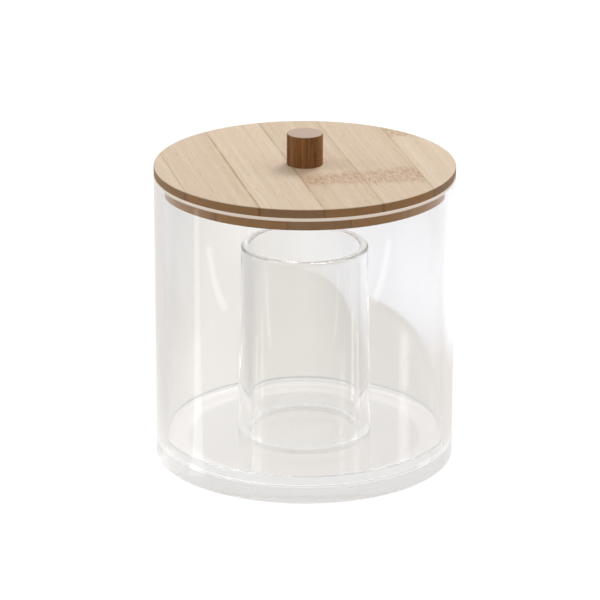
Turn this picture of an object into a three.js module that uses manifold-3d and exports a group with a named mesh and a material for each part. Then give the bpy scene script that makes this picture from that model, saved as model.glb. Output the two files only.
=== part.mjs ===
// A round clear canister with a lift-off bamboo lid, for cotton buds and small cosmetics.
// A straight wall stands on a thick clear base. Inside it lies a floor plate, which carries a tapered
// tube in its middle. The lid has two plies, each glued up edge to edge from bamboo strips: a board
// as wide as the canister, and under it a plug that drops inside the wall. A turned knob stands on
// the board, held by one countersunk screw.
// Millimetres, +Z up. The origin is the middle of the underside, and the strips run along Y.

import * as THREE from 'three';
import { mergeVertices } from 'three/addons/utils/BufferGeometryUtils.js';
import Module from 'manifold-3d';

const wasm = await Module();
wasm.setup();

// Canister wall
const canisterDiameter = 100;
const wallThickness = 3;
const wallHeight = 92.2;
const wallRimRound = 0.4;

// Base, as wide as the canister, and the floor plate that lies on it and centres the wall
const baseHeight = 6;
const baseEdgeRound = 0.8;
const plateThickness = 3.2;
const plateClearance = 0.15;
const plateEdgeRound = 0.3;

// Inner tube: its bore is straight, and its wall thickens towards the foot as a moulding's does
const tubeHeight = 64.6;
const tubeBoreDiameter = 36.6;
const tubeRimWall = 2.9;
const tubeFootWall = 4.1;
const tubeRimRound = 1;

// Lid: a board as wide as the canister, and under it a plug that fits inside the wall
const boardThickness = 3.1;
const boardEdgeRound = 0.5;
const plugDepth = 4.7;
const plugClearance = 0.5;
const plugEdgeRound = 0.4;

// Strips: where one joint of each ply lies. The plies' joints are staggered, as in brickwork.
const stripWidth = 19.8;
const boardJoint = -5;
const plugJoint = 4.1;
const narrowestStrip = 2;

// Knob
const knobDiameter = 12;
const knobHeight = 10.6;
const knobEdgeRound = 0.5;
const knobWoodOverHole = 3.1;

// Screw: its length follows from the plies and from how deep the hole in the knob is
const shankDiameter = 3.5;
const headDiameter = 7;
const headRimHeight = 0.3;
const headSink = 0.3;
const tipHeight = 3;
const tipGap = 1;
const screwClearance = 0.15;
const driveWidth = 1.1;
const driveLength = 4;
const driveDepth = 1.4;

// Fineness of the curves
const wideSegments = 96;
const tubeSegments = 72;
const smallSegments = 32;
const roundSteps = 3;

// Levels and radii that the pieces share
const canisterRadius = canisterDiameter / 2;
const wallBoreRadius = canisterRadius - wallThickness;
const plateRadius = wallBoreRadius - plateClearance;
const plugRadius = wallBoreRadius - plugClearance;
const shankRadius = shankDiameter / 2;
const headRadius = headDiameter / 2;
const screwHoleRadius = shankRadius + screwClearance;

const floorLevel = baseHeight + plateThickness;
const rimLevel = baseHeight + wallHeight;
const plugLevel = rimLevel - plugDepth;
const boardTopLevel = rimLevel + boardThickness;
const knobTopLevel = boardTopLevel + knobHeight;
const holeEndLevel = knobTopLevel - knobWoodOverHole;
const screwTipLevel = holeEndLevel - tipGap;
const headLevel = plugLevel + headSink;
// A countersunk head is a 90 degree cone, so it is as high as it is wider than the shank.
const coneHeight = headRadius - shankRadius;

// A corner of a profile: radius from the axis, height, and how far it is rounded.
const corner = (radius, height, round = 0) => ({ at: new THREE.Vector2(radius, height), round });

// The points that stand for one corner: the corner itself, or an arc tangent to both its sides.
function cornerPoints(before, here, after) {
  if (here.round === 0) return [here.at.clone()];
  const towardsBefore = before.at.clone().sub(here.at).normalize();
  const towardsAfter = after.at.clone().sub(here.at).normalize();
  const halfAngle = Math.acos(towardsBefore.dot(towardsAfter)) / 2;
  const tangentLength = here.round / Math.tan(halfAngle);
  const bisector = towardsBefore.clone().add(towardsAfter).normalize();
  const centre = here.at.clone().addScaledVector(bisector, here.round / Math.sin(halfAngle));
  const start = here.at.clone().addScaledVector(towardsBefore, tangentLength).sub(centre);
  const end = here.at.clone().addScaledVector(towardsAfter, tangentLength).sub(centre);
  const sweep = Math.atan2(start.cross(end), start.dot(end));
  return Array.from({ length: roundSteps + 1 }, (_, step) =>
    start.clone().rotateAround(new THREE.Vector2(), (sweep * step) / roundSteps).add(centre));
}

// Turns a closed outline about the Z axis. The corners run anticlockwise seen with the radius to
// the right and the height up. An outline that touches the axis begins and ends on it.
function revolve(corners, segments) {
  const last = corners.length - 1;
  const onAxis = corners[0].at.x === 0;
  const points = corners.flatMap((here, index) =>
    cornerPoints(corners[index === 0 ? last : index - 1], here, corners[index === last ? 0 : index + 1]));
  if (!onAxis) points.push(points[0].clone());
  const geometry = new THREE.LatheGeometry(points, segments);
  geometry.rotateX(Math.PI / 2);
  return welded(geometry);
}

// The same surface with shared vertices, so that it is one closed skin.
function welded(geometry) {
  geometry.deleteAttribute('normal');
  geometry.deleteAttribute('uv');
  const skin = mergeVertices(geometry);
  skin.computeVertexNormals();
  return skin;
}

function toManifold(geometry) {
  return new wasm.Manifold(new wasm.Mesh({
    numProp: 3,
    vertProperties: new Float32Array(geometry.getAttribute('position').array),
    triVerts: new Uint32Array(geometry.getIndex().array),
  }));
}

function fromManifold(solid) {
  const mesh = solid.getMesh();
  const geometry = new THREE.BufferGeometry();
  geometry.setAttribute('position', new THREE.BufferAttribute(mesh.vertProperties, mesh.numProp));
  geometry.setIndex(new THREE.BufferAttribute(mesh.triVerts, 1));
  geometry.computeVertexNormals();
  return geometry;
}

// The base is a solid disc, with its lower edge eased.
function baseGeometry() {
  return revolve([
    corner(0, 0),
    corner(canisterRadius, 0, baseEdgeRound),
    corner(canisterRadius, baseHeight),
    corner(0, baseHeight),
  ], wideSegments);
}

// The floor plate lies on the base, inside the wall.
function plateGeometry() {
  return revolve([
    corner(0, baseHeight),
    corner(plateRadius, baseHeight),
    corner(plateRadius, floorLevel, plateEdgeRound),
    corner(0, floorLevel),
  ], wideSegments);
}

// The wall stands on the base, round the floor plate. Its top edges are eased by polishing.
function wallGeometry() {
  return revolve([
    corner(wallBoreRadius, baseHeight),
    corner(canisterRadius, baseHeight),
    corner(canisterRadius, rimLevel, wallRimRound),
    corner(wallBoreRadius, rimLevel, wallRimRound),
  ], wideSegments);
}

// The tube is thickest at its foot, and its rim is rounded on both sides.
function tubeGeometry() {
  const topLevel = floorLevel + tubeHeight;
  const boreRadius = tubeBoreDiameter / 2;
  return revolve([
    corner(boreRadius, floorLevel),
    corner(boreRadius + tubeFootWall, floorLevel),
    corner(boreRadius + tubeRimWall, topLevel, tubeRimRound),
    corner(boreRadius, topLevel, tubeRimRound),
  ], tubeSegments);
}

// The board lies on the wall's rim, flush with the outside of the wall.
function boardGeometry() {
  return revolve([
    corner(screwHoleRadius, rimLevel),
    corner(canisterRadius, rimLevel, boardEdgeRound),
    corner(canisterRadius, boardTopLevel, boardEdgeRound),
    corner(screwHoleRadius, boardTopLevel),
  ], wideSegments);
}

// The plug has a countersink from below, a clearance wider than the screw's head all the way up.
function plugGeometry() {
  const sinkRadius = headRadius + screwClearance;
  const sinkTop = headLevel + headRimHeight;
  return revolve([
    corner(sinkRadius, plugLevel),
    corner(plugRadius, plugLevel, plugEdgeRound),
    corner(plugRadius, rimLevel),
    corner(screwHoleRadius, rimLevel),
    corner(screwHoleRadius, sinkTop + coneHeight),
    corner(sinkRadius, sinkTop),
  ], wideSegments);
}

// Where a ply's joints lie, from left to right. None is so near the rim that the strip beyond it
// would be too narrow to glue.
function jointsAcross(plyRadius, oneJoint) {
  const reach = plyRadius - narrowestStrip;
  const first = Math.ceil((-reach - oneJoint) / stripWidth);
  const last = Math.floor((reach - oneJoint) / stripWidth);
  return Array.from({ length: last - first + 1 }, (_, index) => oneJoint + (first + index) * stripWidth);
}

// A ply as its strips, left to right: the turned ply is sawn along its joints.
function strips(name, ply, plyRadius, oneJoint, material) {
  const whole = toManifold(ply);
  const pastRim = plyRadius * 2;
  const edges = [-pastRim, ...jointsAcross(plyRadius, oneJoint), pastRim];
  return edges.slice(1).map((right, index) => {
    const left = edges[index];
    const slab = new THREE.BoxGeometry(right - left, pastRim * 2, pastRim * 2);
    slab.translate((left + right) / 2, 0, rimLevel);
    const strip = fromManifold(whole.intersect(toManifold(welded(slab))));
    return piece(`${name}_${index + 1}`, strip, material);
  });
}

// The knob is a plain turned cylinder with a blind hole in its foot.
function knobGeometry() {
  const knobRadius = knobDiameter / 2;
  return revolve([
    corner(0, holeEndLevel),
    corner(screwHoleRadius, holeEndLevel),
    corner(screwHoleRadius, boardTopLevel),
    corner(knobRadius, boardTopLevel),
    corner(knobRadius, knobTopLevel, knobEdgeRound),
    corner(0, knobTopLevel),
  ], smallSegments);
}

// The screw points up. A cross is cut into the head's face for the driver.
function screwGeometry() {
  const turned = revolve([
    corner(0, headLevel),
    corner(headRadius, headLevel),
    corner(headRadius, headLevel + headRimHeight),
    corner(shankRadius, headLevel + headRimHeight + coneHeight),
    corner(shankRadius, screwTipLevel - tipHeight),
    corner(0, screwTipLevel),
  ], smallSegments);
  // Each arm starts as far below the face as it reaches above it, so the cut opens cleanly.
  const arm = (sizeX, sizeY) => {
    const block = new THREE.BoxGeometry(sizeX, sizeY, driveDepth * 2);
    return toManifold(welded(block.translate(0, 0, headLevel)));
  };
  const cross = arm(driveLength, driveWidth).add(arm(driveWidth, driveLength));
  return fromManifold(toManifold(turned).subtract(cross));
}

const acrylic = (color, opacity) => new THREE.MeshStandardMaterial({
  color, opacity, roughness: 0.05, metalness: 0, transparent: true,
});
const bamboo = (color, roughness) => new THREE.MeshStandardMaterial({ color, roughness, metalness: 0 });
const steel = new THREE.MeshStandardMaterial({ color: 0xb9b9b6, roughness: 0.35, metalness: 1 });

function piece(name, geometry, material) {
  const mesh = new THREE.Mesh(geometry, material);
  mesh.name = name;
  return mesh;
}

const canister = new THREE.Group();
canister.add(
  piece('canister_base', baseGeometry(), acrylic(0xe9e8e5, 0.35)),
  piece('floor_plate', plateGeometry(), acrylic(0xefeeec, 0.3)),
  piece('canister_wall', wallGeometry(), acrylic(0xf1f0ee, 0.25)),
  piece('inner_tube', tubeGeometry(), acrylic(0xeeedeb, 0.3)),
);

const lid = new THREE.Group();
lid.add(
  ...strips('board_strip', boardGeometry(), canisterRadius, boardJoint, bamboo(0xdccbb7, 0.55)),
  ...strips('plug_strip', plugGeometry(), plugRadius, plugJoint, bamboo(0xa98a67, 0.6)),
  piece('lid_knob', knobGeometry(), bamboo(0x8c5f3c, 0.5)),
  piece('knob_screw', screwGeometry(), steel),
);

const organizer = new THREE.Group();
organizer.add(canister, lid);

export default organizer;
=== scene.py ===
import math

import bpy
from bpy.props import FloatProperty, FloatVectorProperty, IntProperty, PointerProperty
from bpy.types import Operator, Panel, PropertyGroup
from mathutils import Euler, Matrix, Vector


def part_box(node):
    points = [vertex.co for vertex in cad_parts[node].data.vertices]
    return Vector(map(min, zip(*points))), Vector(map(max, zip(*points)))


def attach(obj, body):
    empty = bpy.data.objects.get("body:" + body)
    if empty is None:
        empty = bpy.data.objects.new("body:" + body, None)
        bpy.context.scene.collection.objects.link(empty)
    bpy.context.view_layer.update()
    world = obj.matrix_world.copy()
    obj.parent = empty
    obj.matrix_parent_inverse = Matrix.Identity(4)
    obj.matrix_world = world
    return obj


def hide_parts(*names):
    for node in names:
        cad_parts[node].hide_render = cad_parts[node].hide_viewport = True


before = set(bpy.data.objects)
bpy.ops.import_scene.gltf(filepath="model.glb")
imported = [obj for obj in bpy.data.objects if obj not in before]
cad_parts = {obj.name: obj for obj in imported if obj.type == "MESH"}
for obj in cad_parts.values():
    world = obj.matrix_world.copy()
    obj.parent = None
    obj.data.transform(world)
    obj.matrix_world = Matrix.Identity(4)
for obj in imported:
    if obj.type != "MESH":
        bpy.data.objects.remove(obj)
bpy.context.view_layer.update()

bl_info = {
    "name": "Clear Canister with Bamboo Lid",
    "version": (1, 0, 0),
    "blender": (4, 5, 0),
    "location": "3D View > Sidebar > Canister",
    "description": "Dresses the packed canister in acrylic, bamboo and steel, and lights it on a white floor",
    "category": "Object",
}


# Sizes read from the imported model

def levels(node):
    """The lowest and highest level of a node."""
    low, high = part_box(node)
    return low.z, high.z


def radii(node):
    """The smallest and largest distance of a node's corners from the axis."""
    distances = [math.hypot(vertex.co.x, vertex.co.y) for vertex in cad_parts[node].data.vertices]
    return min(distances), max(distances)


def strip_names(ply):
    """A ply's strips from left to right."""
    names = [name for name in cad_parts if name.startswith(ply)]
    return sorted(names, key=lambda name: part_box(name)[0].x)


BOARD_STRIPS = strip_names("board_strip")
PLUG_STRIPS = strip_names("plug_strip")
WALL_BORE, WALL_RADIUS = radii("canister_wall")
BASE_LEVEL, RIM_LEVEL = levels("canister_wall")
PLATE_RADIUS = radii("floor_plate")[1]
FLOOR_LEVEL, TUBE_LEVEL = levels("inner_tube")
TUBE_BORE, TUBE_FOOT = radii("inner_tube")
BOARD_LEVEL = levels(BOARD_STRIPS[0])[1]
PLUG_LEVEL = levels(PLUG_STRIPS[0])[0]
PLUG_RADIUS = max(radii(name)[1] for name in PLUG_STRIPS)
HOLE_RADIUS = min(radii(name)[0] for name in BOARD_STRIPS)
SINK_LEVEL, TIP_LEVEL = levels("knob_screw")
KNOB_RADIUS = radii("lid_knob")[1]
KNOB_LEVEL = levels("lid_knob")[1]
HEAD_RADIUS = radii("knob_screw")[1]
BOARD_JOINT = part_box(BOARD_STRIPS[1])[0].x
PLUG_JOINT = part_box(PLUG_STRIPS[1])[0].x
STRIP_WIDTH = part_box(BOARD_STRIPS[2])[0].x - BOARD_JOINT


# Settings that a user would change

def srgb(red, green, blue):
    """A colour given as a screen shows it, from 0 to 255, as the linear one that materials take."""
    def linear(value):
        share = value / 255
        return share / 12.92 if share <= 0.04045 else ((share + 0.055) / 1.055) ** 2.4
    return linear(red), linear(green), linear(blue)


def number(name, description, default, **settings):
    return FloatProperty(name=name, description=description, default=default, min=0.0, **settings)


def length(name, description, default):
    return number(name, description, default, unit="LENGTH", subtype="DISTANCE", precision=5)


def power(name, description, default):
    return number(name, description, default, unit="POWER")


def facets(name, description, default):
    return IntProperty(name=name, description=description, default=default, min=24)


def colour(name, description, default):
    return FloatVectorProperty(name=name, description=description, default=default, size=3,
                               min=0.0, max=1.0, subtype="COLOR")


class CanisterSizes(PropertyGroup):
    around: facets("Facets around", "Facets round the acrylic pieces", 512)
    base_round: length("Base round", "Radius of the base's lower edge", 0.0008)
    plate_round: length("Plate round", "Radius of the floor plate's edges", 0.0005)
    plate_gap: length("Plate gap", "Air under the floor plate, which keeps it a mirror of its own", 0.00003)
    cement_gap: length("Cement gap", "Room between cemented faces, so light meets one at a time", 0.00001)
    rim_round: length("Rim round", "Radius of the wall's polished top edges", 0.0004)
    tube_rim_wall: length("Tube rim wall", "The tube's wall thickness at its rim", 0.0029)
    tube_rim_round: length("Tube rim round", "Radius of the tube's rim", 0.001)


class LidSizes(PropertyGroup):
    around: facets("Facets around", "Facets round the two plies", 240)
    knob_around: facets("Facets around the knob", "Facets round the knob", 96)
    board_round: length("Board edge round", "Radius of the board's edges", 0.0005)
    plug_round: length("Plug edge round", "Radius of the plug's lower edge", 0.0004)
    strip_ease: length("Strip ease", "How far a strip's long edges are eased", 0.00005)
    sink_clearance: length("Countersink clearance", "Room round the screw's head", 0.00015)
    head_rim: length("Head rim height", "Height of the straight part of the screw's head", 0.0003)
    knob_round: length("Knob edge round", "Radius of the knob's upper edge", 0.0005)
    knob_wood_over_hole: length("Wood over the hole", "Wood left in the knob above the screw hole", 0.0031)


class ScrewSizes(PropertyGroup):
    around: facets("Facets around", "Facets round the screw", 64)
    crest_radius: length("Crest radius", "Radius over the thread", 0.00175)
    root_radius: length("Root radius", "Radius at the bottom of the thread", 0.0012)
    pitch: length("Pitch", "Rise of one turn of the thread", 0.0014)
    tip_height: length("Tip height", "Height of the screw's point", 0.003)
    drive_width: length("Drive width", "Width of the cross in the head", 0.0011)
    drive_length: length("Drive length", "Length of the cross in the head", 0.004)
    drive_depth: length("Drive depth", "Depth of the cross in the head", 0.0014)


class Finishes(PropertyGroup):
    acrylic: colour("Acrylic", "Tint of the clear acrylic", (0.93, 0.93, 0.925))
    acrylic_tube: colour("Acrylic, tube", "Tint of the inner tube", (0.965, 0.962, 0.955))
    acrylic_flat: colour("Acrylic, flat", "Tint of the clear faces that lie flat", (0.958, 0.955, 0.955))
    # Painted shade: a dark tint on the base's side that makes the base look grey.
    acrylic_depth: colour("Acrylic, deep", "Tint where light runs across the base", (0.40, 0.39, 0.375))
    # Painted light: the white glow that the sides of the base and the floor plate give out, which no lamp
    # lights.
    lit_edge: colour("Lit edge", "Light that leaves at a cut edge of the acrylic", (1.0, 1.0, 1.0))
    # Painted light: a cream glow along the wall's top edge, which no lamp lights.
    lit_rim: colour("Lit rim", "Light that leaves at the wall's top edge", (0.92, 0.84, 0.74))
    board_light: colour("Board, pale", "The board's pale fibres", srgb(226, 206, 182))
    board_dark: colour("Board, dark", "The board's dark fibres", srgb(192, 165, 136))
    joint_brown: colour("Glue line", "Joints between strips", srgb(184, 153, 124))
    edge_joint: colour("Glue line, edge", "Joints between strips on the cut rim", srgb(92, 64, 36))
    node_brown: colour("Bamboo node", "Bands where a cane had its rings", srgb(168, 125, 90))
    board_edge: colour("Board edge", "The cut rim of the board", srgb(124, 82, 34))
    plug_edge: colour("Plug edge", "The cut rim of the plug", srgb(166, 115, 48))
    plug_light: colour("Plug, pale", "The plug's pale fibres", srgb(186, 160, 130))
    plug_dark: colour("Plug, dark", "The plug's dark fibres", srgb(140, 112, 84))
    knob_light: colour("Knob, light", "The knob's lighter fibres", srgb(158, 110, 65))
    knob_dark: colour("Knob, dark", "The knob's darker fibres", srgb(94, 57, 30))
    # The end grain's own pale colour, made paler and greyer with a painted sheen.
    knob_top: colour("Knob top", "The knob's end grain", srgb(197, 176, 164))
    steel: colour("Steel", "The screw's plated steel", srgb(190, 190, 186))


class StageSettings(PropertyGroup):
    # Painted shade: the glow colours and the front share make the floor, as acrylic and gloss show it, darker
    # on the left, on the right and on the camera's side.
    glow_left: colour("Glow, left", "The floor on the left, as clear pieces show it", (0.755, 0.73, 0.71))
    glow_middle: colour("Glow, middle", "The floor behind, as clear pieces show it", (1.0, 0.96, 0.915))
    glow_right: colour("Glow, right", "The floor on the right, as clear pieces show it",
                       (0.825, 0.785, 0.755))
    glow_front: number("Glow, front", "Share of the glow on the camera's side", 0.6, max=1.0)
    ambient: number("Ambient", "Brightness of the room's even light", 0.55)
    top_power: power("Top softbox", "Power of the softbox above", 8.1)
    left_power: power("Left softbox", "Power of the tall softbox on the left", 3.0)
    right_power: power("Right softbox", "Power of the tall softbox on the right", 1.2)
    shadow_power: power("Shadow lamp", "Power of the lamp that throws the lid's shadow on the floor", 26.0)


# Building nodes

WHITE = (1.0, 1.0, 1.0, 1.0)


class Wire:
    """An output of a node. What is calculated with it becomes math nodes in its tree."""

    def __init__(self, tree, socket):
        self.tree = tree
        self.socket = socket

    def __add__(self, other):
        return calculate("ADD", self, other)

    def __sub__(self, other):
        return calculate("SUBTRACT", self, other)

    def __rsub__(self, other):
        return calculate("SUBTRACT", other, self)

    def __mul__(self, other):
        return calculate("MULTIPLY", self, other)

    def __truediv__(self, other):
        return calculate("DIVIDE", self, other)

    def __gt__(self, other):
        return calculate("GREATER_THAN", self, other)

    def __lt__(self, other):
        return calculate("LESS_THAN", self, other)

    def __abs__(self):
        return calculate("ABSOLUTE", self)


class Wires:
    """The outputs of a node, each a wire found by its name or number."""

    def __init__(self, tree, outputs):
        self.tree = tree
        self.outputs = outputs

    def __getitem__(self, name):
        return Wire(self.tree, self.outputs[name])


def add(tree, kind, inputs=None, **settings):
    """Adds a node and hands back its outputs. Each input is a value to set, a wire to link, or a list of
    wires for a socket that takes several, under the socket's name or number."""
    node = tree.nodes.new(kind)
    for name, value in settings.items():
        setattr(node, name, value)
    for name, value in (inputs or {}).items():
        if isinstance(value, (Wire, list)):
            for wire in [value] if isinstance(value, Wire) else value:
                tree.links.new(wire.socket, node.inputs[name])
        else:
            node.inputs[name].default_value = value
    return Wires(tree, node.outputs)


def tree_of(values):
    return next(value.tree for value in values if isinstance(value, Wire))


def calculate(operation, *values):
    return add(tree_of(values), "ShaderNodeMath", dict(enumerate(values)), operation=operation)[0]


def vector(operation, *values):
    return add(tree_of(values), "ShaderNodeVectorMath", dict(enumerate(values)), operation=operation)


def scaled(colour_or_place, share):
    return add(share.tree, "ShaderNodeVectorMath", {0: colour_or_place, "Scale": share},
               operation="SCALE")[0]


def ramp(value, start, end, low=0.0, high=1.0):
    """Carries a value smoothly from low to high as it goes from start to end."""
    return add(value.tree, "ShaderNodeMapRange", {
        "Value": value, "From Min": start, "From Max": end, "To Min": low, "To Max": high,
    }, interpolation_type="SMOOTHSTEP")["Result"]


def blend(share, first, second):
    """Mixes two colours."""
    return add(tree_of((share, first, second)), "ShaderNodeMix", {0: share, 6: first, 7: second},
               data_type="RGBA")[2]


def noise(position, scale, detail=2.0, roughness=0.5):
    """A noise with its own scale along each axis, so that it can be drawn out."""
    return add(position.tree, "ShaderNodeTexNoise", {
        "Vector": vector("MULTIPLY", position, scale)[0], "Scale": 1.0, "Detail": detail,
        "Roughness": roughness}, noise_dimensions="3D")["Fac"]


def opaque(rgb):
    return (*rgb, 1.0)


def finish(name):
    """A colour of the user's settings."""
    return opaque(getattr(bpy.context.scene.canister_finishes, name))


def new_group(name, inputs, outputs, kind="ShaderNodeTree"):
    """An empty node group and its inputs. Each socket has a kind, or the number that a float starts at."""
    group = bpy.data.node_groups.new(name, kind)
    for direction, sockets in (("INPUT", inputs), ("OUTPUT", outputs)):
        for label, value in sockets.items():
            socket_kind = "NodeSocket" + (value if isinstance(value, str) else "Float")
            socket = group.interface.new_socket(label, in_out=direction, socket_type=socket_kind)
            if not isinstance(value, str):
                socket.default_value = value
    return group, add(group, "NodeGroupInput")


# Effects that several materials share

def effect(position, build, inputs):
    """Places a shared effect. Its group is built the first time, under the name of its function."""
    group = bpy.data.node_groups.get(build.__name__) or build(build.__name__)
    return add(position.tree, "ShaderNodeGroup", {"Position": position, **inputs}, node_tree=group)


def bamboo_grain(name):
    """Bamboo fibres drawn out along Y: pale and dark streaks, and short pores."""
    group, inside = new_group(name, {
        "Position": "Vector", "Strip": 0.0, "Pale": "Color", "Dark": "Color", "Streaks": 1.0,
        "Pores": 0.3, "Strip Tone": 0.3,
    }, {"Color": "Color", "Height": 0.0, "Roughness": 0.0})
    own = add(group, "ShaderNodeTexWhiteNoise", {"W": inside["Strip"]}, noise_dimensions="1D")
    shifted = vector("ADD", inside["Position"], own["Color"])[0]
    fine = noise(shifted, (1900, 26, 1900), 3.0, 0.6)
    broad = noise(shifted, (420, 7, 420))
    short = noise(shifted, (3000, 170, 3000))
    streaks = ((fine - 0.5) * 1.5 + (broad - 0.5) * 1.6) * inside["Streaks"]
    tone = (own["Value"] - 0.5) * inside["Strip Tone"]
    pores = ramp(short, 0.58, 0.70) * inside["Pores"]
    share = (streaks + tone) + (pores + 0.35)
    clamped = add(group, "ShaderNodeClamp", {"Value": share})[0]
    add(group, "NodeGroupOutput", {
        "Color": blend(clamped, inside["Pale"], inside["Dark"]),
        "Height": fine * 0.5 - pores,
        "Roughness": ramp(fine + pores, 0.2, 1.0, 0.42, 0.62)})
    return group


def glue_lines(name):
    """Thin dark lines where strips are glued, a little wavy and broken, with the number of the nearest
    joint and of the strip."""
    group, inside = new_group(name, {
        "Position": "Vector", "Joint": 0.0, "Strip Width": 0.0, "Line": 0.0001,
    }, {"Mask": 0.0, "Nearest": 0.0, "Strip": 0.0})
    position, joint, width = inside["Position"], inside["Joint"], inside["Strip Width"]
    across = add(group, "ShaderNodeSeparateXYZ", {0: position})["X"]
    shift = (noise(position, (60, 60, 60)) - 0.5) * 0.0004
    strips = (across + shift - joint) / width
    nearest = calculate("ROUND", strips)
    line = ramp(abs(strips - nearest) * width, inside["Line"], inside["Line"] * 3.0, 1.0, 0.0)
    broken = ramp(noise(position, (60, 90, 60)), 0.3, 0.6, 0.4, 1.0)
    add(group, "NodeGroupOutput", {
        "Mask": line * broken, "Nearest": nearest, "Strip": calculate("FLOOR", (across - joint) / width)})
    return group


def bamboo_node_band(name):
    """A bamboo node: a brown band across one strip, broken up into short dashes along the fibres."""
    group, inside = new_group(name, {
        "Position": "Vector", "Left": 0.0, "Right": 0.0, "Along": 0.0, "Half Width": 0.0,
    }, {"Mask": 0.0})
    position = inside["Position"]
    parts = add(group, "ShaderNodeSeparateXYZ", {0: position})
    shift = (noise(position, (160, 40, 0)) - 0.5) * 0.008
    off = abs(parts["Y"] + shift - inside["Along"])
    band = ramp(off / inside["Half Width"], 0.4, 1.1, 1.0, 0.0)
    within = (parts["X"] > inside["Left"]) * (parts["X"] < inside["Right"])
    dashes = ramp(noise(position, (1500, 300, 1500), 2.0, 0.6), 0.42, 0.62, 0.25, 1.0)
    add(group, "NodeGroupOutput", {"Mask": within * band * dashes})
    return group


def handling_marks(name):
    """Faint wear on a smooth surface: cloudy wiping marks and fine scratches."""
    group, inside = new_group(name, {
        "Position": "Vector", "Low": 0.0, "High": 0.05,
    }, {"Roughness": 0.0, "Height": 0.0})
    position, low = inside["Position"], inside["Low"]
    clouds = noise(position, (45, 45, 30), 3.0)
    scratches = noise(position, (900, 900, 60))
    marks = ramp(clouds * 0.7 + scratches * 0.3, 0.4, 0.75)
    add(group, "NodeGroupOutput", {
        "Roughness": low + marks * (inside["High"] - low), "Height": noise(position, (38, 38, 12), 1.0)})
    return group


# Materials

ACRYLIC_IOR = 1.49
WOOD_IOR = 1.45
# A lamp's share that passes a face of the acrylic squarely, and how much of it is lost at a slant.
LAMP_SHARE = 0.96
SLANT_LOSS = 0.9
# How much of its own brown a cut rim shows, a joint on the rim, and a bamboo node's band.
RIM_BROWN = 0.85
RIM_JOINT = 0.35
BAND_BROWN = 0.62


def new_material(name):
    """An empty material, and the wire of the position on the object."""
    material = bpy.data.materials.new(name)
    material.use_nodes = True
    material.node_tree.nodes.clear()
    return material, add(material.node_tree, "ShaderNodeTexCoord")["Object"]


def surfaced(material, shader):
    """The material, with the shader on its surface."""
    add(material.node_tree, "ShaderNodeOutputMaterial", {"Surface": shader})
    return material


def once(build):
    """Builds a material the first time and hands out the same one after that."""
    def get():
        return bpy.data.materials.get(build.__name__) or build(build.__name__)
    return get


def either(share, first, second):
    """Mixes two shaders."""
    return add(share.tree, "ShaderNodeMixShader", {0: share, 1: first, 2: second})[0]


def bump(height, distance, strength=1.0):
    return add(height.tree, "ShaderNodeBump", {
        "Height": height, "Distance": distance, "Strength": strength})["Normal"]


def upward(tree):
    """How far a face looks up: 1 on top, 0 on a side and -1 below."""
    return add(tree, "ShaderNodeSeparateXYZ", {0: add(tree, "ShaderNodeNewGeometry")["Normal"]})["Z"]


def acrylic(name, side_tint, side_roughness=0.0, lit=None):
    """Clear acrylic, with its upright sides finished as said. Lit makes the mask, the colour and the strength
    of a painted glow on a cut edge, light that no lamp gives, from the mask of the sides and the position.
    Lamps shine through it, less at a slant."""
    material, position = new_material(name)
    tree = position.tree
    marks = effect(position, handling_marks, {"Low": 0.0, "High": 0.03})
    side = ramp(abs(upward(tree)), 0.8, 0.2)
    finished = add(tree, "ShaderNodeBsdfPrincipled", {
        "Base Color": blend(side, finish("acrylic_flat"), finish(side_tint)),
        "Roughness": calculate("MAXIMUM", marks["Roughness"], side * side_roughness),
        "Metallic": 0.0, "IOR": ACRYLIC_IOR, "Transmission Weight": 1.0,
        "Normal": bump(marks["Height"], 0.00002, 0.5),
    })[0]
    if lit is not None:
        mask, light, strength = lit(side, position)
        edge = add(tree, "ShaderNodeEmission", {"Color": finish(light), "Strength": strength})[0]
        finished = either(mask, finished, edge)
    slant = add(tree, "ShaderNodeLayerWeight", {"Blend": 0.5})["Facing"]
    let_through = LAMP_SHARE - calculate("POWER", slant, 4.0) * SLANT_LOSS
    passing = add(tree, "ShaderNodeBsdfTransparent", {"Color": let_through})[0]
    shadow = add(tree, "ShaderNodeLightPath")["Is Shadow Ray"]
    return surfaced(material, either(shadow, finished, passing))


@once
def tube_acrylic(name):
    return acrylic(name, "acrylic_tube")


@once
def wall_acrylic(name):
    """A band along the wall's top edge glows cream: painted light, which no lamp makes."""
    def lit_rim(side, position):
        height = add(position.tree, "ShaderNodeSeparateXYZ", {0: position})["Z"]
        # Painted glow on the top millimetre of the wall, mixed in at up to 0.6.
        return ramp(height, RIM_LEVEL - 0.001, RIM_LEVEL - 0.0007, 0.0, 0.6), "lit_rim", 1.0
    return acrylic(name, "acrylic", lit=lit_rim)


@once
def base_acrylic(name):
    """The thick disc's side is tinted much darker, as painted shade. The side has a fine satin finish, and
    from inside it glows white, as painted light that no lamp gives."""
    def lit_from_inside(side, position):
        # Painted light: the base's side glows where it is seen from inside.
        inside = add(side.tree, "ShaderNodeNewGeometry")["Backfacing"]
        return side * inside * 0.85, "lit_edge", 1.3
    return acrylic(name, "acrylic_depth", 0.12, lit_from_inside)


@once
def plate_acrylic(name):
    """The floor plate's edge is left as it was cut, and glows: painted light, which no lamp makes."""
    def lit_side(side, position):
        inside = add(side.tree, "ShaderNodeNewGeometry")["Backfacing"]
        # Painted glow on the plate's sides, with a larger share of it where they are seen from inside.
        mask = side * ramp(inside, 0.0, 1.0, 0.6, 0.85)
        return mask, "lit_edge", ramp(inside, 0.0, 1.0, 1.0, 0.66)
    return acrylic(name, "acrylic", 0.4, lit_side)


@once
def cemented_joint(name):
    """Where two acrylic faces are cemented, light goes straight through."""
    material, position = new_material(name)
    return surfaced(material, add(position.tree, "ShaderNodeBsdfTransparent", {"Color": WHITE})[0])


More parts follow.
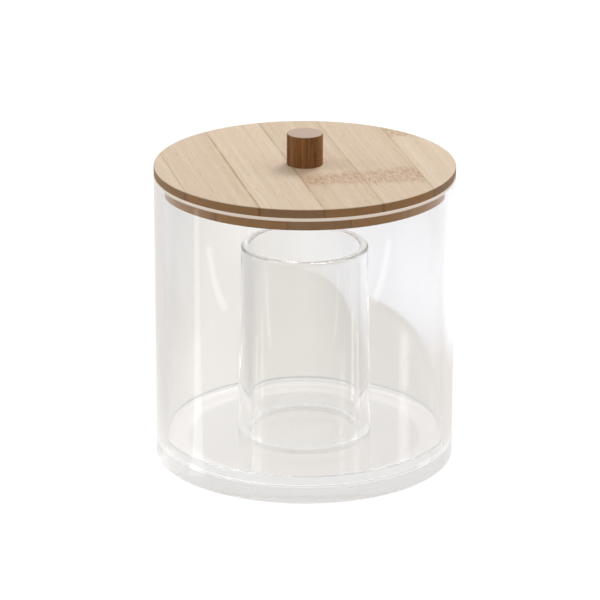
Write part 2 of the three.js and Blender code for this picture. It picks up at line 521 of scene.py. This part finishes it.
def wood(material, colour_wire, roughness, height, depth):
    """The material, finished as bare wood with a relief of the given depth."""
    return surfaced(material, add(height.tree, "ShaderNodeBsdfPrincipled", {
        "Base Color": colour_wire, "Roughness": roughness, "IOR": WOOD_IOR,
        "Specular IOR Level": 0.15, "Normal": bump(height, depth, 0.6)})[0])


def bamboo(name, ply, joint, strengths, bands, streaks, tone):
    """A ply of edge-glued bamboo with its fibres along Y: grain, node bands, glue lines, each with its own
    strength, and a browned cut rim."""
    material, position = new_material(name)
    tree = position.tree
    lines = effect(position, glue_lines, {"Joint": joint, "Strip Width": STRIP_WIDTH, "Line": 0.0002})
    grain = effect(position, bamboo_grain, {
        "Strip": lines["Strip"], "Pale": finish(ply + "_light"), "Dark": finish(ply + "_dark"),
        "Streaks": streaks, "Strip Tone": tone})
    surface = grain["Color"]
    for left, right, along, half_width in bands:
        band = effect(position, bamboo_node_band, {
            "Left": left, "Right": right, "Along": along, "Half Width": half_width})
        surface = blend(band["Mask"] * BAND_BROWN, surface, finish("node_brown"))
    glued = lines["Mask"]
    for place, strength in enumerate(strengths):
        here = calculate("COMPARE", lines["Nearest"], float(place), 0.5)
        glued = glued * ramp(here, 0.0, 1.0, 1.0, strength)
    surface = blend(glued, surface, finish("joint_brown"))
    own = add(tree, "ShaderNodeTexWhiteNoise", {"W": lines["Strip"]}, noise_dimensions="1D")["Value"]
    toned = scaled(finish(ply + "_edge")[:3], ramp(own, 0.0, 1.0, 0.94, 1.24))
    rim = blend(lines["Mask"] * RIM_JOINT, blend(RIM_BROWN, surface, toned), finish("edge_joint"))
    surface = blend(ramp(abs(upward(tree)), 0.85, 0.45), surface, rim)
    return wood(material, surface, grain["Roughness"], grain["Height"] - lines["Mask"], 0.00003)


@once
def board_wood(name):
    """A band lies between two joints. Its place along the strip and its half width follow."""
    edges = [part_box(strip)[0].x for strip in BOARD_STRIPS] + [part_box(BOARD_STRIPS[-1])[1].x]
    bands = [
        (edges[3], edges[4], -0.0185, 0.0080),
        (edges[4], edges[5], -0.0195, 0.0100),
        (edges[5], edges[6], 0.0290, 0.0070),
    ]
    return bamboo(name, "board", BOARD_JOINT, (0.35, 0.9, 0.6, 0.2, 0.35), bands, 0.42, 0.25)


@once
def plug_wood(name):
    return bamboo(name, "plug", PLUG_JOINT, (0.6, 0.8, 0.5, 0.7, 0.6), [], 1.2, 0.3)


@once
def knob_wood(name):
    """A turned dowel: fibres up its side, dark and close, and pale end grain on top, whose colour also holds
    a painted sheen that makes it paler and greyer.
    """
    material, position = new_material(name)
    upright = add(position.tree, "ShaderNodeMapping", {
        "Vector": position, "Rotation": Euler((math.pi / 2, 0, 0))})[0]
    grain = effect(upright, bamboo_grain, {
        "Pale": finish("knob_light"), "Dark": finish("knob_dark"), "Streaks": 1.3, "Pores": 0.5,
        "Strip Tone": 0.0})
    # End grain on top, partly painted sheen.
    ends = blend(grain["Height"], finish("knob_top"), finish("node_brown"))
    surface = blend(ramp(upward(position.tree), 0.55, 0.9), grain["Color"], ends)
    return wood(material, surface, grain["Roughness"], grain["Height"], 0.00004)


@once
def plated_steel(name):
    material, position = new_material(name)
    marks = effect(position, handling_marks, {"Low": 0.25, "High": 0.5})
    return surfaced(material, add(position.tree, "ShaderNodeBsdfPrincipled", {
        "Base Color": finish("steel"), "Metallic": 1.0, "Roughness": marks["Roughness"],
        "Normal": bump(marks["Height"], 0.00003)})[0])


# Turned shapes

# A radius below this is the axis.
ON_AXIS = 1e-9
# The sides that a rounded corner is made of.
ROUND_STEPS = 8


def corner(radius, level, rounding=0.0, cemented=False):
    """A corner of an outline. Cemented says that the side from it to the next corner is a bonded joint."""
    return {"at": Vector((radius, level)), "rounding": rounding, "slot": 1 if cemented else 0}


def outward(direction):
    """The outer side of an outline that runs anticlockwise, with the radius to the right and up as up."""
    return Vector((direction.y, -direction.x)).normalized()


def outline_points(corners):
    """The points of an outline, each with its outer normal before and after it and the next side's slot."""
    points = []
    for index, here in enumerate(corners):
        before = corners[index - 1]
        after = corners[(index + 1) % len(corners)]
        inward_side = (before["at"] - here["at"]).normalized()
        onward_side = (after["at"] - here["at"]).normalized()
        normal_in, normal_out = outward(-inward_side), outward(onward_side)
        if here["rounding"] == 0.0:
            points.append((here["at"], normal_in, normal_out, here["slot"]))
            continue
        half = inward_side.angle(onward_side) / 2
        centre = here["at"] + (inward_side + onward_side).normalized() * (here["rounding"] / math.sin(half))
        for step in range(ROUND_STEPS + 1):
            normal = normal_in.slerp(normal_out, step / ROUND_STEPS)
            slot = here["slot"] if step == ROUND_STEPS else 0
            points.append((centre + normal * here["rounding"], normal, normal, slot))
    return points


def turned(name, corners, around):
    """A closed mesh turned about the Z axis, with exact normals. An outline that touches the axis begins and
    ends on it, and there a ring is one vertex and its faces are triangles."""
    points = outline_points(corners)
    sides = len(points) - 1 if corners[0]["at"].x == 0.0 else len(points)
    angles = [math.tau * step / around for step in range(around)]
    circle = [(math.cos(angle), math.sin(angle)) for angle in angles]
    vertices, rings = [], []
    for at, _, _, _ in points:
        if at.x < ON_AXIS:
            rings.append([len(vertices)] * around)
            vertices.append((0.0, 0.0, at.y))
        else:
            rings.append(list(range(len(vertices), len(vertices) + around)))
            vertices += [(at.x * cosine, at.x * sine, at.y) for cosine, sine in circle]
    faces, slots, normals = [], [], []
    for index in range(sides):
        follower = (index + 1) % len(points)
        start = rings[index], points[index][2]
        end = rings[follower], points[follower][1]
        for step in range(around):
            turn = (step + 1) % around
            kept = {}
            for (ring, normal), place in ((start, step), (start, turn), (end, turn), (end, step)):
                cosine, sine = circle[place]
                kept.setdefault(ring[place], (normal.x * cosine, normal.x * sine, normal.y))
            faces.append(list(kept))
            slots.append(points[index][3])
            normals += kept.values()
    mesh = bpy.data.meshes.new(name)
    mesh.from_pydata(vertices, [], faces)
    mesh.polygons.foreach_set("material_index", slots)
    mesh.polygons.foreach_set("use_smooth", [True] * len(faces))
    mesh.normals_split_custom_set(normals)
    mesh.update()
    return mesh


def placed(name, mesh, *materials):
    """An object at the origin that shows the mesh."""
    piece = bpy.data.objects.new(name, mesh)
    bpy.context.scene.collection.objects.link(piece)
    mesh.materials.clear()
    for material in materials:
        mesh.materials.append(material)
    return piece


def hand_over(piece, body, slot, *nodes):
    """The piece rides on a body and shows instead of the nodes. The slot is not used."""
    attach(piece, body)
    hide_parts(*nodes)


# Geometry Nodes

def new_geometry_tree(name, inputs):
    shape = {"Geometry": "Geometry"}
    tree, inside = new_group(name, {**shape, **inputs}, shape, "GeometryNodeTree")
    tree.is_modifier = True
    return tree, inside


def finish_tree(tree, shape, material):
    realized = add(tree, "GeometryNodeRealizeInstances", {"Geometry": shape})[0]
    coated = add(tree, "GeometryNodeSetMaterial", {"Geometry": realized, "Material": material})[0]
    add(tree, "NodeGroupOutput", {"Geometry": coated})
    return tree


def point(tree, **places):
    """A place made of wires or numbers for X, Y and Z."""
    return add(tree, "ShaderNodeCombineXYZ", places)[0]


def bar(tree, width, depth, height, centre):
    """A plain block whose sizes and centre are wires."""
    block = add(tree, "GeometryNodeMeshCube", {"Size": point(tree, X=width, Y=depth, Z=height)})["Mesh"]
    return moved(block, centre)


def moved(shape, centre):
    return add(shape.tree, "GeometryNodeTransform", {"Geometry": shape, "Translation": centre})[0]


def sawn_strip_tree():
    """Saws one strip out of a turned ply, between two joints."""
    tree, inside = new_geometry_tree("sawn_strip", {
        "Left": 0.0, "Right": 0.0, "Reach": 0.0, "Level": 0.0, "Bamboo": "Material"})
    centre = point(tree, X=(inside["Right"] + inside["Left"]) * 0.5, Z=inside["Level"])
    slab = bar(tree, inside["Right"] - inside["Left"], inside["Reach"], inside["Reach"], centre)
    sawn = add(tree, "GeometryNodeMeshBoolean", {"Mesh 2": [inside["Geometry"], slab]},
               operation="INTERSECT", solver="EXACT")["Mesh"]
    return finish_tree(tree, sawn, inside["Bamboo"])


def threaded_tree():
    """Winds a thread round a screw's shank and cuts the cross for the driver into its head."""
    tree, inside = new_geometry_tree("threaded_screw", {
        "Root Radius": 0.0, "Crest Radius": 0.0, "Pitch": 0.0, "Thread Start": 0.0, "Thread Height": 0.0,
        "Head Level": 0.0, "Drive Width": 0.0, "Drive Length": 0.0, "Drive Depth": 0.0,
        "Steel": "Material"})
    root, width, span = inside["Root Radius"], inside["Drive Width"], inside["Drive Length"]
    helix = add(tree, "GeometryNodeCurveSpiral", {
        "Resolution": 32, "Rotations": inside["Thread Height"] / inside["Pitch"], "Start Radius": root,
        "End Radius": root, "Height": inside["Thread Height"]})[0]
    ridge = add(tree, "GeometryNodeCurvePrimitiveCircle", {
        "Resolution": 6, "Radius": inside["Crest Radius"] - root})[0]
    thread = add(tree, "GeometryNodeCurveToMesh", {
        "Curve": moved(helix, point(tree, Z=inside["Thread Start"])), "Profile Curve": ridge,
        "Fill Caps": True})[0]
    depth = inside["Drive Depth"] * 2.0
    face = point(tree, Z=inside["Head Level"])
    cross = [bar(tree, span, width, depth, face), bar(tree, width, span, depth, face)]
    cut = add(tree, "GeometryNodeMeshBoolean", {"Mesh 1": inside["Geometry"], "Mesh 2": cross},
              operation="DIFFERENCE", solver="EXACT")["Mesh"]
    whole = add(tree, "GeometryNodeJoinGeometry", {0: [cut, thread]})[0]
    return finish_tree(tree, whole, inside["Steel"])


def shape_with(piece, tree, values):
    """Puts the tree on the piece as a modifier, with its inputs set by the sockets' identifiers."""
    modifier = piece.modifiers.new(tree.name, "NODES")
    modifier.node_group = tree
    sockets = {item.name: item.identifier for item in tree.interface.items_tree if item.in_out == "INPUT"}
    for name, value in values.items():
        modifier[sockets[name]] = value


def settle(piece, crease):
    """Turns what the modifiers make into the piece's own mesh, shaded smooth between creases that are
    sharper than the angle."""
    evaluated = piece.evaluated_get(bpy.context.evaluated_depsgraph_get())
    mesh = bpy.data.meshes.new_from_object(evaluated)
    mesh.name = piece.name
    piece.modifiers.clear()
    piece.data = mesh
    mesh.polygons.foreach_set("use_smooth", [True] * len(mesh.polygons))
    mesh.set_sharp_from_angle(angle=math.radians(crease))


# Operators

def make_acrylic(name, node, finish, corners):
    """A turned piece of the clear body. Its cemented sides have a material of their own."""
    mesh = turned(name, corners, bpy.context.scene.canister_sizes.around)
    piece = placed(name, mesh, finish, cemented_joint())
    hand_over(piece, "canister", "clear_acrylic", node)


class MakeBase(Operator):
    """Makes the base, a solid disc that the wall is cemented to"""
    bl_idname = "canister.make_base"
    bl_label = "Base"

    def execute(self, context):
        make_acrylic("acrylic_base", "canister_base", base_acrylic(), [
            corner(0, 0),
            corner(WALL_RADIUS, 0, context.scene.canister_sizes.base_round),
            corner(WALL_RADIUS, BASE_LEVEL, cemented=True),
            corner(WALL_BORE, BASE_LEVEL),
            corner(0, BASE_LEVEL),
        ])
        return {"FINISHED"}


class MakePlate(Operator):
    """Makes the floor plate, which lies on the base inside the wall"""
    bl_idname = "canister.make_plate"
    bl_label = "Floor plate"

    def execute(self, context):
        sizes = context.scene.canister_sizes
        underside = BASE_LEVEL + sizes.plate_gap
        make_acrylic("acrylic_plate", "floor_plate", plate_acrylic(), [
            corner(0, underside),
            corner(PLATE_RADIUS, underside, sizes.plate_round),
            corner(PLATE_RADIUS, FLOOR_LEVEL, sizes.plate_round),
            corner(TUBE_FOOT, FLOOR_LEVEL, cemented=True),
            corner(TUBE_BORE, FLOOR_LEVEL),
            corner(0, FLOOR_LEVEL),
        ])
        return {"FINISHED"}


class MakeWall(Operator):
    """Makes the straight wall, cemented to the base"""
    bl_idname = "canister.make_wall"
    bl_label = "Wall"

    def execute(self, context):
        sizes = context.scene.canister_sizes
        foot = BASE_LEVEL + sizes.cement_gap
        make_acrylic("acrylic_wall", "canister_wall", wall_acrylic(), [
            corner(WALL_BORE, foot, cemented=True),
            corner(WALL_RADIUS, foot),
            corner(WALL_RADIUS, RIM_LEVEL, sizes.rim_round),
            corner(WALL_BORE, RIM_LEVEL, sizes.rim_round),
        ])
        return {"FINISHED"}


class MakeTube(Operator):
    """Makes the inner tube, cemented to the floor plate"""
    bl_idname = "canister.make_tube"
    bl_label = "Inner tube"

    def execute(self, context):
        sizes = context.scene.canister_sizes
        foot = FLOOR_LEVEL + sizes.cement_gap
        make_acrylic("acrylic_tube", "inner_tube", tube_acrylic(), [
            corner(TUBE_BORE, foot, cemented=True),
            corner(TUBE_FOOT, foot),
            corner(TUBE_BORE + sizes.tube_rim_wall, TUBE_LEVEL, sizes.tube_rim_round),
            corner(TUBE_BORE, TUBE_LEVEL, sizes.tube_rim_round),
        ])
        return {"FINISHED"}


# Degrees. An edge this sharp is eased, and one this sharp stays a crease in wood or in steel.
EASED_EDGE = 50
WOOD_CREASE = 12
STEEL_CREASE = 35


def make_strips(ply, corners, names, material, slot):
    """Turns a ply and saws it along its joints. Each strip is a piece of its own."""
    sizes = bpy.context.scene.lid_sizes
    ply_mesh = turned(ply, corners, sizes.around)
    tree = bpy.data.node_groups.get("sawn_strip") or sawn_strip_tree()
    reach = WALL_RADIUS * 4
    for name in names:
        low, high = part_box(name)
        piece = placed("bamboo_" + name, ply_mesh.copy(), material)
        shape_with(piece, tree, {
            "Left": -reach if name == names[0] else low.x,
            "Right": reach if name == names[-1] else high.x,
            "Reach": reach, "Level": (low.z + high.z) / 2, "Bamboo": material})
        ease = piece.modifiers.new("ease", "BEVEL")
        ease.width = sizes.strip_ease
        ease.segments = 1
        ease.limit_method = "ANGLE"
        ease.angle_limit = math.radians(EASED_EDGE)
        settle(piece, WOOD_CREASE)
        hand_over(piece, "lid", slot, name)
    bpy.data.meshes.remove(ply_mesh)


class MakeBoard(Operator):
    """Makes the board's strips, as wide as the canister together"""
    bl_idname = "canister.make_board"
    bl_label = "Board strips"

    def execute(self, context):
        sizes = context.scene.lid_sizes
        make_strips("board_ply", [
            corner(HOLE_RADIUS, RIM_LEVEL),
            corner(WALL_RADIUS, RIM_LEVEL, sizes.board_round),
            corner(WALL_RADIUS, BOARD_LEVEL, sizes.board_round),
            corner(HOLE_RADIUS, BOARD_LEVEL),
        ], BOARD_STRIPS, board_wood(), "bamboo_board")
        return {"FINISHED"}


class MakePlug(Operator):
    """Makes the strips of the plug that drops inside the wall, with a countersink for the screw"""
    bl_idname = "canister.make_plug"
    bl_label = "Plug strips"

    def execute(self, context):
        sizes = context.scene.lid_sizes
        sink_radius = HEAD_RADIUS + sizes.sink_clearance
        sink_top = SINK_LEVEL + sizes.head_rim
        make_strips("plug_ply", [
            corner(sink_radius, PLUG_LEVEL),
            corner(PLUG_RADIUS, PLUG_LEVEL, sizes.plug_round),
            corner(PLUG_RADIUS, RIM_LEVEL),
            corner(HOLE_RADIUS, RIM_LEVEL),
            corner(HOLE_RADIUS, sink_top + sink_radius - HOLE_RADIUS),
            corner(sink_radius, sink_top),
        ], PLUG_STRIPS, plug_wood(), "bamboo_plug")
        return {"FINISHED"}


class MakeKnob(Operator):
    """Makes the turned knob with a blind hole for the screw"""
    bl_idname = "canister.make_knob"
    bl_label = "Knob"

    def execute(self, context):
        sizes = context.scene.lid_sizes
        hole_end = KNOB_LEVEL - sizes.knob_wood_over_hole
        mesh = turned("turned_knob", [
            corner(0, hole_end),
            corner(HOLE_RADIUS, hole_end),
            corner(HOLE_RADIUS, BOARD_LEVEL),
            corner(KNOB_RADIUS, BOARD_LEVEL),
            corner(KNOB_RADIUS, KNOB_LEVEL, sizes.knob_round),
            corner(0, KNOB_LEVEL),
        ], sizes.knob_around)
        piece = placed("turned_knob", mesh, knob_wood())
        hand_over(piece, "lid", "bamboo_knob", "lid_knob")
        return {"FINISHED"}


class MakeScrew(Operator):
    """Makes the countersunk wood screw that holds the knob, with its thread and cross"""
    bl_idname = "canister.make_screw"
    bl_label = "Screw"

    def execute(self, context):
        sizes = context.scene.screw_sizes
        head_top = SINK_LEVEL + context.scene.lid_sizes.head_rim
        thread_start = RIM_LEVEL
        tip_start = TIP_LEVEL - sizes.tip_height
        mesh = turned("wood_screw", [
            corner(0, SINK_LEVEL),
            corner(HEAD_RADIUS, SINK_LEVEL),
            corner(HEAD_RADIUS, head_top),
            corner(sizes.crest_radius, head_top + HEAD_RADIUS - sizes.crest_radius),
            corner(sizes.crest_radius, thread_start),
            corner(sizes.root_radius, thread_start),
            corner(sizes.root_radius, tip_start),
            corner(0, TIP_LEVEL),
        ], sizes.around)
        piece = placed("wood_screw", mesh, plated_steel())
        shape_with(piece, threaded_tree(), {
            "Root Radius": sizes.root_radius, "Crest Radius": sizes.crest_radius, "Pitch": sizes.pitch,
            "Thread Start": thread_start, "Thread Height": tip_start - thread_start,
            "Head Level": SINK_LEVEL, "Drive Width": sizes.drive_width, "Drive Length": sizes.drive_length,
            "Drive Depth": sizes.drive_depth, "Steel": plated_steel()})
        settle(piece, STEEL_CREASE)
        hand_over(piece, "lid", "screw_steel", "knob_screw")
        return {"FINISHED"}


# The stage. Places are given as the photograph's camera sees them: to its right, away from it, and up.

VIEW_TURN = math.radians(13)


def seen(right, away, up):
    cosine, sine = math.cos(VIEW_TURN), math.sin(VIEW_TURN)
    return Vector((right * cosine + away * sine, -right * sine + away * cosine, up))


# The camera looks at the canister from a little above. Its angles are in radians.
CAMERA_PLACE = seen(0, -1.1111, 0.44378)
CAMERA_PITCH = 0.337833
CAMERA_YAW = -0.001385
CAMERA_ROLL = 0.00156
CAMERA_LENS = 210.9
CAMERA_REACH = 50

# Light runs far inside the acrylic, turned back by one face after another.
BOUNCES = 64

# Half the floor's width, and how far it lies below the base, which would flicker on it otherwise.
FLOOR_REACH = 3.0
FLOOR_GAP = 0.0001

# Softboxes: name, setting of the power, width, height and place.
SOFTBOXES = (
    ("top_softbox", "top_power", 0.5, 0.5, (0.4, 0.8, 1.05)),
    ("left_softbox", "left_power", 0.2, 1.2, (-1.0, 0.12, 0.5)),
    ("right_softbox", "right_power", 0.3, 1.2, (0.94, 0.34, 0.5)),
)

# Strips of light on the floor: radius of the face that mirrors it, degrees from the camera to its right,
# degrees across, strength, and the distance from the face at which it ends.
CARDS = (
    (WALL_RADIUS, -90, 4, 2.2, 0.3),
    (TUBE_FOOT, -92, 3, 2.0, 0.14),
    (TUBE_FOOT, 108, 3, 2.3, 0.14),
)
# How far off the canister a strip starts, and half the width that it would have at the mirroring face.
CARD_START = 0.01
CARD_LEAST = 0.004

# The circle that the lid's shadow fills on the floor, and the lamp that throws it.
SHADOW_CENTRE = seen(-0.062, 0.081, 0)
SHADOW_RADIUS = 0.12
BEAM_COLOUR = (0.66, 0.78, 1.0)
BEAM_SIZE = 0.001
BEAM_SPREAD = 72
BEAM_AIM = seen(0.2, 0.5, 0)


def add_lamp(name, kind, energy, place, aim):
    """A lamp at a place, turned to what it lights."""
    data = bpy.data.lights.new(name, kind)
    data.energy = energy
    lamp = bpy.data.objects.new(name, data)
    bpy.context.scene.collection.objects.link(lamp)
    lamp.location = place
    lamp.rotation_euler = (aim - place).to_track_quat("-Z", "Y").to_euler()
    return lamp


def in_acrylic(path):
    """Whether a ray comes from gloss or through acrylic."""
    return calculate("MAXIMUM", path["Is Glossy Ray"], path["Is Transmission Ray"])


@once
def white_floor(name):
    """A pale floor. The camera sees it white, with a faint shadow. Acrylic and gloss show it in the stage's
    glow colours, with painted shade on the camera's side, a painted bright ring under the canister's rim and
    a painted highlight beside the base's left end."""
    stage = bpy.context.scene.canister_stage
    material, position = new_material(name)
    tree = position.tree
    tone = blend(noise(position, (6, 6, 6)), (0.86, 0.86, 0.86, 1.0), (0.90, 0.90, 0.90, 1.0))
    paper = add(tree, "ShaderNodeBsdfDiffuse", {"Color": tone})[0]
    right = vector("DOT_PRODUCT", position, seen(1, 0, 0))["Value"]
    away = vector("DOT_PRODUCT", position, seen(0, 1, 0))["Value"]
    distance = vector("LENGTH", position)["Value"]

    def ring(start, full, fade, end):
        """The mask of a ring on the floor, from its radii as shares of the canister's."""
        outside = ramp(distance, start * WALL_RADIUS, full * WALL_RADIUS)
        return outside - ramp(distance, fade * WALL_RADIUS, end * WALL_RADIUS)

    # Painted shade: the glow is darker on the left and the right than behind, and darker on the camera's
    # side.
    left_half = blend(ramp(right, -0.09, -0.035), opaque(stage.glow_left), opaque(stage.glow_middle))
    side_by_side = blend(ramp(right, 0.0, 0.04), left_half, opaque(stage.glow_right))
    shaded = vector("MULTIPLY", side_by_side, ramp(away, -0.14, -0.05, stage.glow_front, 1.0))[0]
    # Painted light: a brighter ring on the floor under the canister's rim, seen through the acrylic.
    painted_bright_ring = calculate("MULTIPLY_ADD", ring(0.77, 0.80, 0.96, 0.98), 0.25, 1.0)
    # Painted highlight: a brighter patch on the floor beside the base's left end, seen only in gloss, makes
    # the base's left end shine.
    left_end = ramp(right, -0.86 * WALL_RADIUS, -0.98 * WALL_RADIUS) * ramp(
        away, -0.04 * WALL_RADIUS, -0.26 * WALL_RADIUS, 0.0, 0.75)
    path = add(tree, "ShaderNodeLightPath")
    painted_base_highlight = ring(1.0, 1.01, 1.15, 1.25) * left_end * path["Is Glossy Ray"]
    through = in_acrylic(path)
    shade = blend(through, WHITE, scaled(shaded, painted_base_highlight + painted_bright_ring))
    glow = add(tree, "ShaderNodeEmission", {"Color": shade, "Strength": 1.04})[0]
    share = calculate("MAXIMUM", path["Is Camera Ray"] * 0.92, through * 0.85)
    return surfaced(material, either(share, paper, glow))


def lay_card(name, radius, turn, spread, strength, far):
    """A strip of light on the floor, turned from the camera to its right, that fans out from the place where
    an upright face of the given radius mirrors it. It is seen only where it is mirrored: the wall's in the
    wall, and the tube's in the tube, by rays that have gone through three faces or more."""
    on_wall = radius == WALL_RADIUS
    along = seen(math.sin(turn), -math.cos(turn), 0)
    across = Vector((-along.y, along.x, 0))
    mirrored = seen(math.sin(turn / 2), -math.cos(turn / 2), 0) * radius
    near = CARD_START + WALL_RADIUS - radius
    edges = []
    for distance, side in ((near, -1), (far, -1), (far, 1), (near, 1)):
        half_width = CARD_LEAST + distance * math.tan(spread / 2)
        edges.append(mirrored + along * distance + across * side * half_width)
    mesh = bpy.data.meshes.new(name)
    mesh.from_pydata(edges, [], [(0, 1, 2, 3)])
    material, position = new_material(name)
    path = add(position.tree, "ShaderNodeLightPath")
    least_faces = 0 if on_wall else 3
    shown = (path["Glossy Depth"] > 0.5) * (path["Transmission Depth"] > least_faces - 0.5)
    unseen = add(position.tree, "ShaderNodeBsdfTransparent", {"Color": WHITE})[0]
    light = add(position.tree, "ShaderNodeEmission", {"Color": WHITE, "Strength": strength})[0]
    card = placed(name, mesh, surfaced(material, either(shown, unseen, light)))
    card.visible_glossy = on_wall
    card.visible_transmission = not on_wall
    card.visible_camera = False
    card.visible_diffuse = False
    card.visible_shadow = False


def light_room(ambient):
    """The room's even light. Seen directly, in acrylic or in gloss, it is the white background."""
    world = bpy.data.worlds.new("studio_room")
    bpy.context.scene.world = world
    world.use_nodes = True
    tree = world.node_tree
    tree.nodes.clear()
    room = add(tree, "ShaderNodeBackground", {"Color": WHITE, "Strength": ambient})[0]
    white = add(tree, "ShaderNodeBackground", {"Color": WHITE, "Strength": 1.0})[0]
    path = add(tree, "ShaderNodeLightPath")
    shown = calculate("MAXIMUM", path["Is Camera Ray"], in_acrylic(path))
    add(tree, "ShaderNodeOutputWorld", {"Surface": either(shown, room, white)})


def throw_lid_shadow(floor, energy):
    """A lamp that lights only the floor, placed so that the lid's shadow fills a circle on it."""
    up = BOARD_LEVEL * SHADOW_RADIUS / (SHADOW_RADIUS - WALL_RADIUS)
    place = SHADOW_CENTRE * (1 - up / BOARD_LEVEL) + Vector((0, 0, up))
    lamp = add_lamp("shadow_lamp", "SPOT", energy, place, BEAM_AIM)
    lamp.data.color = BEAM_COLOUR
    lamp.data.shadow_soft_size = BEAM_SIZE
    lamp.data.spot_size = math.radians(BEAM_SPREAD)
    lamp.data.spot_blend = 1.0
    lamp.visible_glossy = False
    lamp.visible_transmission = False
    floor_only = bpy.data.collections.new("floor_only")
    floor_only.objects.link(floor)
    lamp.light_linking.receiver_collection = floor_only


class MakeStage(Operator):
    """Makes the camera, the white floor, the lamps and the room's light"""
    bl_idname = "canister.make_stage"
    bl_label = "Stage"

    def execute(self, context):
        scene, stage = context.scene, context.scene.canister_stage
        scene.view_settings.view_transform = "Standard"
        for kind in ("max", "transmission", "glossy", "transparent_max"):
            setattr(scene.cycles, kind + "_bounces", BOUNCES)
        lens = bpy.data.cameras.new("photograph")
        lens.lens = CAMERA_LENS
        lens.clip_end = CAMERA_REACH
        camera = bpy.data.objects.new("photograph", lens)
        scene.collection.objects.link(camera)
        camera.location = CAMERA_PLACE
        level = Euler((math.pi / 2 - CAMERA_PITCH, 0, -VIEW_TURN - CAMERA_YAW)).to_matrix()
        camera.rotation_euler = (level @ Matrix.Rotation(CAMERA_ROLL, 3, "Z")).to_euler()
        scene.camera = camera

        mesh = bpy.data.meshes.new("floor")
        mesh.from_pydata([(x * FLOOR_REACH, y * FLOOR_REACH, -FLOOR_GAP) for x, y in
                          ((-1, -1), (1, -1), (1, 1), (-1, 1))], [], [(0, 1, 2, 3)])
        floor = placed("floor", mesh, white_floor())

        middle = Vector((0, 0, KNOB_LEVEL / 2))
        for name, setting, width, height, place in SOFTBOXES:
            softbox = add_lamp(name, "AREA", getattr(stage, setting), seen(*place), middle)
            softbox.data.shape = "RECTANGLE"
            softbox.data.size = width
            softbox.data.size_y = height
        for order, (radius, turn, spread, strength, far) in enumerate(CARDS, 1):
            lay_card(f"card_{order}", radius, math.radians(turn), math.radians(spread), strength, far)
        light_room(stage.ambient)
        throw_lid_shadow(floor, stage.shadow_power)
        return {"FINISHED"}


class VIEW3D_PT_canister(Panel):
    """Lists the operators and their settings"""
    bl_label = "Canister"
    bl_space_type = "VIEW_3D"
    bl_region_type = "UI"
    bl_category = "Canister"

    def draw(self, context):
        for operator in OPERATORS:
            self.layout.operator(operator.bl_idname)
        for name, settings in SETTINGS.items():
            box = self.layout.box()
            for item in settings.__annotations__:
                box.prop(getattr(context.scene, name), item)


SETTINGS = {
    "canister_sizes": CanisterSizes,
    "lid_sizes": LidSizes,
    "screw_sizes": ScrewSizes,
    "canister_finishes": Finishes,
    "canister_stage": StageSettings,
}
OPERATORS = (MakeStage, MakeBase, MakePlate, MakeWall, MakeTube, MakeBoard, MakePlug, MakeKnob, MakeScrew)


def register():
    for cls in (*SETTINGS.values(), *OPERATORS, VIEW3D_PT_canister):
        bpy.utils.register_class(cls)
    for name, settings in SETTINGS.items():
        setattr(bpy.types.Scene, name, PointerProperty(type=settings))


def unregister():
    for name in SETTINGS:
        delattr(bpy.types.Scene, name)
    for cls in (VIEW3D_PT_canister, *reversed(OPERATORS), *reversed(SETTINGS.values())):
        bpy.utils.unregister_class(cls)


def main():
    register()
    bpy.ops.canister.make_stage()
    bpy.ops.canister.make_base()
    bpy.ops.canister.make_plate()
    bpy.ops.canister.make_wall()
    bpy.ops.canister.make_tube()
    bpy.ops.canister.make_board()
    bpy.ops.canister.make_plug()
    bpy.ops.canister.make_knob()
    bpy.ops.canister.make_screw()


if __name__ == "__main__":
    main()
